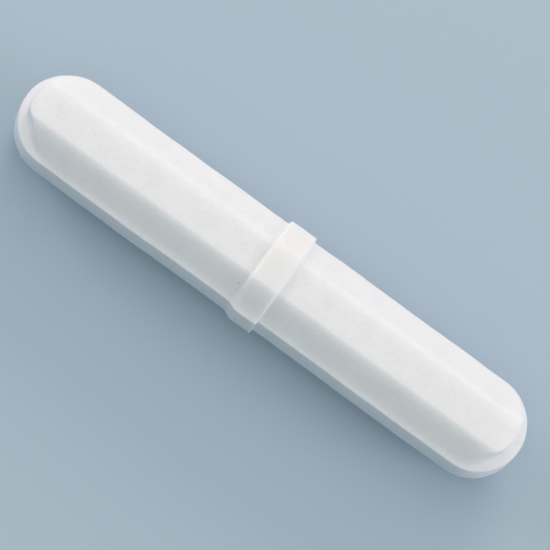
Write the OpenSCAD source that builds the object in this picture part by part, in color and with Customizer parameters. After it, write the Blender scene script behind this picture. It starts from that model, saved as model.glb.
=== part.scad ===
// Magnetic stir bar: an octagonal bar with rounded ends and a raised pivot ring
// round its middle, moulded in white PTFE over a sealed rod magnet.
// Millimetres. X runs along the bar, Z is up, and the pivot ring's lowest facet
// rests on z = 0 with the middle of the bar over the origin.

/* [Bar] */
// Length over the two rounded ends
bar_l = 76.2; // [62:0.1:92]
// Width across two opposite flats of the octagon
bar_w = 12.7; // [10.5:0.1:15.4]
// How far short of each tip the octagon's faces stop, leaving a level step
end_step = 1.4; // [0.6:0.05:1.8]
// How much larger the faces' rounded end is than the half-round of the bar itself
end_ease = 0.3; // [0.3:0.05:1.2]
// How far the level step lies below the edge where the sloping faces begin
end_drop = 0.15; // [0.05:0.01:0.5]

/* [Pivot ring] */
// Width of the ring along the bar
ring_w = 4.0; // [3:0.1:6]
// Height the ring stands proud of the flats
ring_h = 0.52; // [0.3:0.02:1.2]

/* [Magnet inside] */
// Jacket thickness between the magnet and the flats
side_wall = 1.6; // [1.3:0.05:2.2]
// Jacket thickness between the magnet and the tip of each end
end_wall = 5.1; // [4.5:0.1:8]
// Bevel on the two end edges of the magnet
magnet_bevel = 0.4; // [0.2:0.05:0.8]

/* [Hidden] */
$fn = 96;

bar_r = bar_w / 2;                      // centre to a flat
half_side = bar_r * tan(22.5);          // half the length of one octagon side
mid_z = bar_r + ring_h;                 // height of the bar's centre line
magnet_r = bar_r - side_wall;           // also the radius of the cavity
magnet_l = bar_l - 2 * end_wall;        // also the length of the cavity

// Regular octagon with flats at top and bottom, r from centre to a flat.
module octagon(r) {
    h = r * tan(22.5);
    polygon([[r, -h], [r, h], [h, r], [-h, r], [-r, h], [-r, -h], [-h, -r], [h, -r]]);
}

// Octagonal prism of length l lying along X, centred on the origin.
module octagon_bar(r, l) {
    rotate([90, 0, 90])
        linear_extrude(height = l, center = true)
            octagon(r);
}

// Upright round-ended slab: length l, end radius r and height t.
module round_ended_slab(l, r, t) {
    end_x = l / 2 - r;
    linear_extrude(height = t, center = true)
        union() {
            square([2 * end_x, 2 * r], center = true);
            translate([end_x, 0]) circle(r = r);
            translate([-end_x, 0]) circle(r = r);
        }
}

// Octagonal faces with rounded ends, over the longer slab that forms the steps.
module bar_body() {
    union() {
        intersection() {
            octagon_bar(bar_r, bar_l);
            round_ended_slab(bar_l - 2 * end_step, bar_r + end_ease, bar_w);
        }
        round_ended_slab(bar_l, bar_r, 2 * (half_side - end_drop));
    }
}

// Rod that fits the cavity face to face.
module magnet_rod() {
    rotate([0, 90, 0])
        rotate_extrude()
            polygon([
                [0, -magnet_l / 2],
                [magnet_r - magnet_bevel, -magnet_l / 2],
                [magnet_r, -magnet_l / 2 + magnet_bevel],
                [magnet_r, magnet_l / 2 - magnet_bevel],
                [magnet_r - magnet_bevel, magnet_l / 2],
                [0, magnet_l / 2]
            ]);
}

// PTFE jacket with the pivot ring moulded in one with it.
module jacket() {
    color("white")
        translate([0, 0, mid_z])
            difference() {
                union() {
                    bar_body();
                    octagon_bar(bar_r + ring_h, ring_w);
                }
                magnet_rod();
            }
}

// Cast Alnico rod sealed inside the jacket.
module magnet_core() {
    color("dimgray")
        translate([0, 0, mid_z])
            magnet_rod();
}

jacket();
magnet_core();
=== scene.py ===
import math
import random

import bmesh
import bpy
import numpy as np
from mathutils import Matrix, Vector


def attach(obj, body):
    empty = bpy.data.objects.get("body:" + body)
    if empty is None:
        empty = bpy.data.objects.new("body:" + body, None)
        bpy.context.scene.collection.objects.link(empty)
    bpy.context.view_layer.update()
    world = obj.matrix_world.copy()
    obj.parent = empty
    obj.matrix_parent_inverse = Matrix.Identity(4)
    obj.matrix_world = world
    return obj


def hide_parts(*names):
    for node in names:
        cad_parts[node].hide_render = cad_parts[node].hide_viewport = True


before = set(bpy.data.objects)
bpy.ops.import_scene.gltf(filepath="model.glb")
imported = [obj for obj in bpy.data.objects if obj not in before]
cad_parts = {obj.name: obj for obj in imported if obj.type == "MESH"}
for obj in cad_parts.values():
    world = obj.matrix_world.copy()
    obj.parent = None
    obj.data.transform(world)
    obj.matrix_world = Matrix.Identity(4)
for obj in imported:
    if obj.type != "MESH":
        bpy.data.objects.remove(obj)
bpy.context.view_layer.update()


# ---------------------------------------------------------------------------
# Jacket. PTFE powder is pressed round the magnet in a round-ended die, between
# two punches that shape the upper and lower faces, and then sintered: one waxy
# white piece with softened ridges, a level step at each tip and a little flash.

# Sizes are in millimetres, measured from the bar's centre, and the scene is in
# metres. The left end is towards minus x and the near side towards minus y.
MM = 0.001

bar_length = 76.2
flat_to_centre = 6.35
half_side = flat_to_centre * math.tan(math.radians(22.5))
tip_centre = bar_length / 2 - flat_to_centre

ring_half_width = 2.0
ring_proud = 0.52
centre_height = flat_to_centre + ring_proud

random.seed(7)


def ease(t):
    """0 below 0, 1 above 1, and a smooth S between."""
    t = np.clip(t, 0.0, 1.0)
    return t * t * (3.0 - 2.0 * t)


def bump(t):
    """A smooth hump, 1 at t = 0 and nothing beyond 1 either side."""
    return 1.0 - ease(np.abs(t))


def soft_min(a, b, width):
    """The smaller of two heights, rounded over where they cross."""
    near = np.maximum(width - np.abs(a - b), 0.0) / width
    return np.minimum(a, b) - near * near * width * 0.25


def soft_max(a, b, width):
    """The larger of two heights, filled in where they cross."""
    return -soft_min(-a, -b, width)


def by_end(x, left, right):
    """One value on the left half of the bar and another on the right half."""
    return np.where(x < 0, left, right)


def waves(lengths, heights):
    """Slow random waves along one measure, each with its own length and height."""
    parts = [
        (2 * math.pi / length, height, random.uniform(0, 2 * math.pi))
        for length, height in zip(lengths, heights)
    ]

    def height_at(s):
        return sum(height * np.sin(k * s + phase) for k, height, phase in parts)

    return height_at


# The ring's shoulders are a little wider on top than at the sides, and the near
# left one is worn soft towards the bottom.
left_shoulder, right_shoulder = 0.34, 0.22
top_widening, widening_reach = 0.26, 6.0
left_inset = 0.05
worn_from, worn_reach = 3.2, 2.4
worn_widening, worn_inset = 1.2, 0.22


def on_ring(x, y):
    """1 on the pivot ring and 0 on the bar."""
    worn = ease((-y - worn_from) / worn_reach)
    widening = top_widening * bump(y / widening_reach)
    left_width = left_shoulder + widening + worn_widening * worn
    left_at = -ring_half_width + left_inset + worn_inset * worn
    left = ease((x - left_at) / left_width + 0.5)
    right = ease((ring_half_width - x) / (right_shoulder + widening) + 0.5)
    return left * right


# Upper faces, as heights across the bar. The near ridge rolls over into a slope
# that eases off towards the wall. The far ridge has sunk a little.
near_ridge, near_roll = -2.57, 0.75
slope_easing, easing_from, easing_reach = 0.34, 2.4, 1.3
near_edge_width, near_edge_rise = 0.52, 0.1
far_ridge, far_sink, far_sink_reach, far_rounding = 2.5, 0.26, 0.9, 0.35
lower_rounding = 0.7

samples_across = 1271  # one every 0.01 mm
across = np.linspace(-flat_to_centre, flat_to_centre, samples_across)
past_ridge = np.maximum(near_ridge - across, 0.0)
rolled_over = 1 - np.exp(-past_ridge / near_roll)
steepness = rolled_over * (1 - slope_easing * ease((past_ridge - easing_from) / easing_reach))
fall = np.cumsum(steepness[::-1])[::-1] * (across[1] - across[0])
fall_at_edge = np.interp(near_edge_width - flat_to_centre, across, fall)
fall *= (flat_to_centre - half_side - near_edge_rise) / fall_at_edge
sunk = far_sink * np.exp(-np.maximum(far_ridge - across, 0.0) / far_sink_reach)
top_face = flat_to_centre - fall - sunk
far_drop = flat_to_centre - far_sink - half_side
far_face = half_side + (flat_to_centre - across) * far_drop / (flat_to_centre - far_ridge)
upper_section = soft_min(top_face, far_face, far_rounding)

# Lower faces. Plain octagon faces with rounded ridges.
lower_flat = np.full_like(across, flat_to_centre)
lower_slopes = half_side + flat_to_centre - np.abs(across)
lower_section = soft_min(lower_flat, lower_slopes, lower_rounding)

# Tips. The faces end in a steep riser, rounded in plan, above a step that is
# nearly level. At the near corners the riser is softer and stands further in.
left_step, right_step = 1.0, 1.4
left_radius, right_radius = 6.3, 6.65
riser_off_centre = 0.12
riser_width, left_softening, right_softening = 0.06, 0.6, 0.9
corner_from, corner_reach = 2.0, 1.6
left_set_in, right_set_in, set_in_reach = 0.5, 0.25, 1.5
step_slope, slope_width, step_fillet = 0.03, 0.5, 0.25
edge_below_side = 0.03
left_edge_dip, right_edge_dip, dip_reach = 0.3, 0.12, 3.5


def edge_height(x):
    """Height of the sharp edge where the upright wall ends."""
    beyond = np.maximum(np.abs(x) - tip_centre, 0.0)
    dip = by_end(x, left_edge_dip, right_edge_dip) * ease(beyond / dip_reach)
    return half_side - edge_below_side - dip


def face_height(x, y, section, undulation):
    """Height of one set of faces from the bar's middle plane."""
    scale = 1 + ring_proud / flat_to_centre * on_ring(x, y)
    faces = scale * np.interp(y / scale, across, section)
    radius = by_end(x, left_radius, right_radius)
    arc_from = bar_length / 2 - by_end(x, left_step, right_step) - radius
    arc_x = np.maximum(np.abs(x) - arc_from, 0.0)
    inside = radius - np.hypot(arc_x, y / scale - riser_off_centre)
    corner = ease((-y - corner_from) / corner_reach)
    set_in = by_end(x, left_set_in, right_set_in) * corner * ease(arc_x / set_in_reach)
    softness = riser_width + by_end(x, left_softening, right_softening) * corner
    on_faces = ease((inside - set_in) / softness + 0.5)
    beyond = np.maximum(np.abs(x) - tip_centre, 0.0)
    to_edge = flat_to_centre * scale - np.hypot(beyond, y)
    step = edge_height(x) * scale + step_slope * np.minimum(to_edge, slope_width)
    faces = soft_max(faces + undulation(x, y), step, step_fillet)
    return step + (faces - step) * on_faces


# Sections stand closest by the ring's shoulders: within the first number of one,
# they are the second number apart.
spacings = [(0.22, 0.045), (1.0, 0.15), (math.inf, 0.6)]
look_ahead = 0.03
sections_round_tip = 79


def stations():
    """Where the sections stand: their points on the centre line and outward angles."""
    xs = [-tip_centre]
    while xs[-1] < tip_centre:
        to_shoulder = abs(abs(xs[-1] + look_ahead) - ring_half_width)
        xs.append(xs[-1] + next(gap for within, gap in spacings if to_shoulder < within))
    xs = np.array(xs)
    xs = -tip_centre + (xs - xs[0]) * (2 * tip_centre) / (xs[-1] - xs[0])
    turns = np.radians(np.linspace(90, -90, sections_round_tip + 2))[1:-1]
    found = [(x, math.pi / 2) for x in xs]
    found += [(tip_centre, turn) for turn in turns]
    found += [(x, -math.pi / 2) for x in xs[::-1]]
    found += [(-tip_centre, turn - math.pi) for turn in turns]
    return np.array(found)


base, turn = stations().T
out_x, out_y = np.cos(turn), np.sin(turn)
edge_x, edge_y = base + flat_to_centre * out_x, flat_to_centre * out_y
along_edge = np.concatenate([[0], np.cumsum(np.hypot(np.diff(edge_x), np.diff(edge_y)))])

# The outline wanders by a few hundredths, and stays just inside the nominal size.
outline_inset = 0.02
outline_wave = waves([46, 19, 8.5, 3.1], [0.03, 0.022, 0.016, 0.008])(along_edge)
width = flat_to_centre + ring_proud * on_ring(edge_x, edge_y) + outline_wave - outline_inset

# The faces roll over a small radius into the wall. The waves in their edge fade
# out a little way in, and the waves along the faces run aslant.
edge_radius = 0.12
edge_wave_reach = 0.8
wave_slant = 0.35

# Rows across the faces, which stand closest where a section bends most.
tries_inward, rows_on_faces, rows_up_wall = 600, 72, 5
bend_weight, most_bend = 0.35, 0.2


def skin(side, section):
    """One set of faces, as sections from the wall to the centre line. Side is 1 or -1."""
    edge_wave = waves([33, 14, 6.3, 2.7], [0.035, 0.03, 0.02, 0.012])(along_edge)
    drift_x, drift_y = waves([17, 7.7], [0.012, 0.008]), waves([9, 4.1], [0.01, 0.006])
    edge_scale = 1 + ring_proud / flat_to_centre * on_ring(edge_x, edge_y)
    wall_top = edge_height(edge_x) * edge_scale + edge_wave

    def undulation(x, y):
        return drift_x(x) + drift_y(y + wave_slant * x)

    def surface(i, inward):
        """Points of section i, with inward 0 at the wall and 1 at the centre line."""
        from_centre = (width[i] - edge_radius) * (1 - inward)
        x, y = base[i] + from_centre * out_x[i], from_centre * out_y[i]
        return from_centre, x, y, face_height(x, y, section, undulation)

    found = []
    for i in range(len(base)):
        inward = np.linspace(0, 1, tries_inward)
        from_centre, x, y, z = surface(i, inward)
        length = np.hypot(np.diff(from_centre), np.diff(z))
        bend = np.abs(np.diff(z, 2, prepend=z[0])) / (from_centre[0] - from_centre[1])
        cost = length + bend_weight * np.minimum(bend, most_bend)
        total = np.concatenate([[0], np.cumsum(cost)])
        inward = np.interp(np.linspace(0, total[-1], rows_on_faces), total, inward)
        from_centre, x, y, z = surface(i, inward)
        from_edge = inward * (width[i] - edge_radius)
        z = z + edge_wave[i] * (1 - ease(from_edge / edge_wave_reach))
        rounded_edge = []
        for t in (0.0, 0.25, 0.5, 0.75):
            start, corner, end = (1 - t) ** 2, 2 * t * (1 - t), t * t
            out = start * width[i] + corner * width[i] + end * (width[i] - edge_radius)
            up = start * (wall_top[i] - edge_radius) + corner * wall_top[i] + end * z[0]
            rounded_edge.append((base[i] + out * out_x[i], out * out_y[i], up * side))
        found.append(rounded_edge + list(zip(x, y, z * side)))
    return np.array(found)


upper = skin(1, upper_section)
lower = skin(-1, lower_section)
up_wall = np.linspace(0, 1, rows_up_wall + 2)[1:-1]
wall = [lower[:, 0] * (1 - t) + upper[:, 0] * t for t in up_wall]
grid = np.concatenate([lower[:, ::-1], np.stack(wall, 1), upper], 1)

# Flash. Three small points at the foot of the near wall: where each stands along
# the bar, its half length and how far it sticks out.
flash = [(-34.1, 0.35, 0.30), (1.95, 0.22, 0.40), (35.6, 0.35, 0.12)]
flash_above_edge, flash_half_height, flash_droop = 0.1, 0.35, 0.08
on_wall_from = 5.9
for flash_x, flash_half_length, reach in flash:
    beyond = np.maximum(np.abs(grid[:, :, 0]) - tip_centre, 0)
    on_near_wall = (grid[:, :, 1] < 0) * (np.hypot(grid[:, :, 1], beyond) > on_wall_from)
    height = np.abs(grid[:, :, 2] - lower[:, :1, 2] - flash_above_edge)
    lengthways = bump((grid[:, :, 0] - flash_x) / flash_half_length)
    there = lengthways * bump(height / flash_half_height) * on_near_wall
    grid[:, :, 0] += there * reach * out_x[:, None]
    grid[:, :, 1] += there * reach * out_y[:, None]
    grid[:, :, 2] -= there * flash_droop

# Nothing stands outside the nominal size.
tip_clearance, side_clearance = 0.01, 0.005
half_length = bar_length / 2 - tip_clearance
half_width = centre_height - side_clearance
grid[:, :, 0] = np.clip(grid[:, :, 0], -half_length, half_length)
grid[:, :, 1] = np.clip(grid[:, :, 1], -half_width, half_width)
grid[:, :, 2] = np.clip(grid[:, :, 2], -centre_height, centre_height)

magnet_radius, magnet_half_length, magnet_bevel = 4.75, 33.0, 0.4
pocket_sides = 64


def cavity(sides):
    """The pocket that holds the magnet, its faces turned towards the magnet."""
    inner_radius = magnet_radius - magnet_bevel
    inner_half_length = magnet_half_length - magnet_bevel
    profile = [
        (-magnet_half_length, inner_radius),
        (-inner_half_length, magnet_radius),
        (inner_half_length, magnet_radius),
        (magnet_half_length, inner_radius),
    ]
    points = []
    for x, radius in profile:
        for k in range(sides):
            angle = 2 * math.pi * k / sides
            points.append((x, radius * math.cos(angle), radius * math.sin(angle)))
    faces = []
    for j in range(len(profile) - 1):
        for k in range(sides):
            n = (k + 1) % sides
            faces.append(
                (j * sides + k, (j + 1) * sides + k, (j + 1) * sides + n, j * sides + n)
            )
    last = (len(profile) - 1) * sides
    faces.append(tuple(range(sides)))
    faces.append(tuple(last + k for k in reversed(range(sides))))
    return points, faces


count, rows = grid.shape[:2]
points = [tuple(point) for point in grid.reshape(-1, 3)]
faces = []
for i in range(count):
    n = (i + 1) % count
    for j in range(rows - 1):
        faces.append((i * rows + j, i * rows + j + 1, n * rows + j + 1, n * rows + j))
pocket_points, pocket_faces = cavity(pocket_sides)
first = len(points)
points += pocket_points
faces += [tuple(first + k for k in face) for face in pocket_faces]
mesh = bpy.data.meshes.new("jacket_ptfe")
mesh.from_pydata([(x * MM, y * MM, (z + centre_height) * MM) for x, y, z in points], [], faces)
jacket = bpy.data.objects.new("jacket_ptfe", mesh)
bpy.context.scene.collection.objects.link(jacket)

# The sections all meet on the centre line, where their points are made one.
weld_distance, least_edge = 0.004, 0.0005
welded = bmesh.new()
welded.from_mesh(mesh)
bmesh.ops.remove_doubles(welded, verts=welded.verts, dist=weld_distance * MM)
bmesh.ops.dissolve_degenerate(welded, edges=welded.edges, dist=least_edge * MM)
welded.to_mesh(mesh)
welded.free()
mesh.validate()
mesh.polygons.foreach_set("use_smooth", [True] * len(mesh.polygons))
mesh.update()


def hex_colour(text):
    """A colour written as sRGB hex, as the linear values a shader takes."""
    parts = [int(text[k:k + 2], 16) / 255 for k in (1, 3, 5)]
    linear = (c / 12.92 if c <= 0.04045 else ((c + 0.055) / 1.055) ** 2.4 for c in parts)
    return tuple(linear) + (1.0,)


def add_node(tree, kind, values=None, links=None, **settings):
    """One shader node with its settings, its socket values and what feeds it.

    A socket goes by its name, or by its number where the name repeats. A colour
    mix takes its colours in 6 and 7 and gives the result in 2. A range goes from
    1 and 2 to 3 and 4.
    """
    made = tree.nodes.new(kind)
    for name, value in settings.items():
        setattr(made, name, value)
    for socket, value in (values or {}).items():
        made.inputs[socket].default_value = value
    for socket, source in (links or {}).items():
        tree.links.new(source, made.inputs[socket])
    return made


# Sintered PTFE, as pressed. Light sinks about a millimetre into it before it
# comes back, which gives a waxy white with pale shadows, and the powder's grain
# leaves it without a shine.
grain_per_mm = 2.4  # about 0.4 mm each, drawn coarser than the powder so that it shows
patches_per_mm = 0.23  # patches about 4 mm across, where the powder packed unevenly
specks_per_mm = 0.13  # one small speck, at most, in every 8 mm
speck_core, speck_rim = 0.010, 0.022  # as shares of those 8 mm
grain_share = 0.6
grain_depth = 0.03
ring_tint, ring_tint_from, ring_tint_to = 0.5, 1.9, 2.1  # a warmer white on the ring

ptfe = bpy.data.materials.new("moulded_ptfe")
ptfe.use_nodes = True
tree = ptfe.node_tree
skin_shader = tree.nodes["Principled BSDF"]
place = add_node(tree, "ShaderNodeTexCoord").outputs["Object"]
patches = add_node(
    tree, "ShaderNodeTexNoise",
    {"Scale": patches_per_mm / MM, "Detail": 3.0}, {"Vector": place},
)
grain = add_node(
    tree, "ShaderNodeTexNoise",
    {"Scale": grain_per_mm / MM, "Detail": 2.0}, {"Vector": place},
)
uneven = add_node(
    tree, "ShaderNodeMath", {1: grain_share},
    {0: grain.outputs["Fac"], 2: patches.outputs["Fac"]}, operation="MULTIPLY_ADD",
)
body_white = add_node(
    tree, "ShaderNodeMix", {6: hex_colour("#EAE5E6"), 7: hex_colour("#FEFAFB")},
    {0: uneven.outputs[0]}, data_type="RGBA",
)
axes = add_node(tree, "ShaderNodeSeparateXYZ", None, {0: place})
from_middle = add_node(
    tree, "ShaderNodeMath", None, {0: axes.outputs["X"]}, operation="ABSOLUTE"
)
ring_mask = add_node(
    tree, "ShaderNodeMapRange",
    {1: ring_tint_from * MM, 2: ring_tint_to * MM, 3: ring_tint, 4: 0.0},
    {0: from_middle.outputs[0]},
)
ring_white = add_node(
    tree, "ShaderNodeMix", {7: hex_colour("#F9F3EF")},
    {0: ring_mask.outputs[0], 6: body_white.outputs[2]}, data_type="RGBA",
)
specks = add_node(
    tree, "ShaderNodeTexVoronoi",
    {"Scale": specks_per_mm / MM, "Randomness": 1.0}, {"Vector": place},
)
speck_mask = add_node(
    tree, "ShaderNodeMapRange", {1: speck_core, 2: speck_rim, 3: 1.0, 4: 0.0},
    {0: specks.outputs["Distance"]},
)
speckled_white = add_node(
    tree, "ShaderNodeMix", {7: hex_colour("#DAD6D3")},
    {0: speck_mask.outputs[0], 6: ring_white.outputs[2]}, data_type="RGBA",
)
relief = add_node(
    tree, "ShaderNodeBump", {"Strength": 0.6, "Distance": grain_depth * MM},
    {"Height": grain.outputs["Fac"]},
)
tree.links.new(speckled_white.outputs[2], skin_shader.inputs["Base Color"])
tree.links.new(relief.outputs[0], skin_shader.inputs["Normal"])
skin_shader.subsurface_method = "RANDOM_WALK"
skin_shader.inputs["Subsurface Weight"].default_value = 1.0
skin_shader.inputs["Subsurface Radius"].default_value = (1.0, 0.95, 0.9)
skin_shader.inputs["Subsurface Scale"].default_value = 1.3 * MM
skin_shader.inputs["IOR"].default_value = 1.35
skin_shader.inputs["Roughness"].default_value = 0.65
skin_shader.inputs["Specular IOR Level"].default_value = 0.35
mesh.materials.append(ptfe)

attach(jacket, "root")
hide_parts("jacket")


# ---------------------------------------------------------------------------
# Magnet. A plain rod of cast Alnico, its ends ground and their edges bevelled.
# The jacket is moulded round it, so it fills its pocket and can't be taken out.

# Alnico as cast in sand. It keeps a dull, dark, slightly brown grey skin with a
# sandy roughness.
sand_per_mm = 1.4  # sand grains about 0.7 mm across
sand_depth = 0.05

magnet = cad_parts["magnet_core"]
alnico = bpy.data.materials.new("cast_alnico")
alnico.use_nodes = True
tree = alnico.node_tree
cast_shader = tree.nodes["Principled BSDF"]
place = add_node(tree, "ShaderNodeTexCoord").outputs["Object"]
sand = add_node(
    tree, "ShaderNodeTexNoise",
    {"Scale": sand_per_mm / MM, "Detail": 4.0}, {"Vector": place},
)
cast_grey = add_node(
    tree, "ShaderNodeMix", {6: hex_colour("#4E4A46"), 7: hex_colour("#6A6560")},
    {0: sand.outputs["Fac"]}, data_type="RGBA",
)
cast_relief = add_node(
    tree, "ShaderNodeBump", {"Strength": 0.6, "Distance": sand_depth * MM},
    {"Height": sand.outputs["Fac"]},
)
tree.links.new(cast_grey.outputs[2], cast_shader.inputs["Base Color"])
tree.links.new(cast_relief.outputs[0], cast_shader.inputs["Normal"])
cast_shader.inputs["Metallic"].default_value = 0.7
cast_shader.inputs["Roughness"].default_value = 0.6
magnet.data.materials.clear()
magnet.data.materials.append(alnico)


# ---------------------------------------------------------------------------
# Floor. A plain sheet of pale card, far wider than the view, that the bar lies
# loose on. It takes the bar's own soft shadow.

sheet_half_width = 1.6
corners = [(-1, -1), (1, -1), (1, 1), (-1, 1)]
floor_mesh = bpy.data.meshes.new("floor")
floor_mesh.from_pydata(
    [(x * sheet_half_width, y * sheet_half_width, 0) for x, y in corners], [], [(0, 1, 2, 3)]
)
floor = bpy.data.objects.new("floor", floor_mesh)
bpy.context.scene.collection.objects.link(floor)

# Matt card, smooth and without a shine. It looks pale blue, while the light that
# it throws back on the bar is a deeper blue, which cools the bar's wall.
card = bpy.data.materials.new("pale_card")
card.use_nodes = True
tree = card.node_tree
card_shader = tree.nodes["Principled BSDF"]
ray = add_node(tree, "ShaderNodeLightPath").outputs
seen = add_node(
    tree, "ShaderNodeMath", None,
    {0: ray["Is Camera Ray"], 1: ray["Is Glossy Ray"]}, operation="ADD",
)
seen = add_node(
    tree, "ShaderNodeMath", None,
    {0: seen.outputs[0], 1: ray["Is Transmission Ray"]}, operation="ADD", use_clamp=True,
)
card_blue = add_node(
    tree, "ShaderNodeMix", {6: hex_colour("#1F6C96"), 7: hex_colour("#B4C6D3")},
    {0: seen.outputs[0]}, data_type="RGBA",
)
tree.links.new(card_blue.outputs[2], card_shader.inputs["Base Color"])
card_shader.inputs["Roughness"].default_value = 0.8
card_shader.inputs["Specular IOR Level"].default_value = 0.2
floor_mesh.materials.append(card)


# ---------------------------------------------------------------------------
# Light. A soft lamp low on the far side and another at each end of the bar, all
# the same size and distance away, with a plain pale sky that fills the rest.

lamp_distance = 0.6
lamp_length, lamp_height = 0.40, 0.20
lamps = [
    ("far", (-0.20, 0.87, 0.40), 1.16, (1.0, 0.88, 0.82)),
    ("left", (-0.92, 0.10, 0.39), 0.99, (1.0, 0.87, 1.0)),
    ("right", (0.92, 0.10, 0.39), 1.07, (1.0, 0.87, 1.0)),
]
for name, direction, power, colour in lamps:
    towards_lamp = Vector(direction).normalized()
    lamp_data = bpy.data.lights.new(name, "AREA")
    lamp_data.shape = "ELLIPSE"
    lamp_data.size = lamp_length
    lamp_data.size_y = lamp_height
    lamp_data.energy = power
    lamp_data.color = colour
    lamp = bpy.data.objects.new(name, lamp_data)
    lamp.location = towards_lamp * lamp_distance
    lamp.rotation_euler = towards_lamp.to_track_quat("Z", "Y").to_euler()
    bpy.context.scene.collection.objects.link(lamp)

world = bpy.data.worlds.new("sky")
world.use_nodes = True
sky = world.node_tree.nodes["Background"]
sky.inputs["Color"].default_value = (0.925, 1.0, 0.96, 1.0)
sky.inputs["Strength"].default_value = 0.58
bpy.context.scene.world = world


# ---------------------------------------------------------------------------
# Camera. Looks down at the bar from 14 degrees off upright on its near side, and
# is turned so that the bar lies from upper left to lower right.

tilt = math.radians(14)
turned = math.radians(36.03)
camera_distance = 1.0
view_width = 0.06908
aim_right, aim_up = 0.60, 0.21
sensor_width = 36.0

along_bar = Vector((1.0, 0.0, 0.0))
far_way = Vector((0.0, math.cos(tilt), math.sin(tilt)))
towards_camera = Vector((0.0, -math.sin(tilt), math.cos(tilt)))
right = along_bar * math.cos(turned) + far_way * math.sin(turned)
up = -along_bar * math.sin(turned) + far_way * math.cos(turned)
aim = Vector((0, 0, centre_height * MM)) + right * aim_right * MM + up * aim_up * MM
stand = Matrix((right, up, towards_camera)).transposed().to_4x4()
stand.translation = aim + towards_camera * camera_distance

camera_data = bpy.data.cameras.new("camera")
camera_data.sensor_width = sensor_width
camera_data.lens = sensor_width * camera_distance / view_width
camera = bpy.data.objects.new("camera", camera_data)
camera.matrix_world = stand
bpy.context.scene.collection.objects.link(camera)
bpy.context.scene.camera = camera
bpy.context.scene.view_settings.view_transform = "Standard"
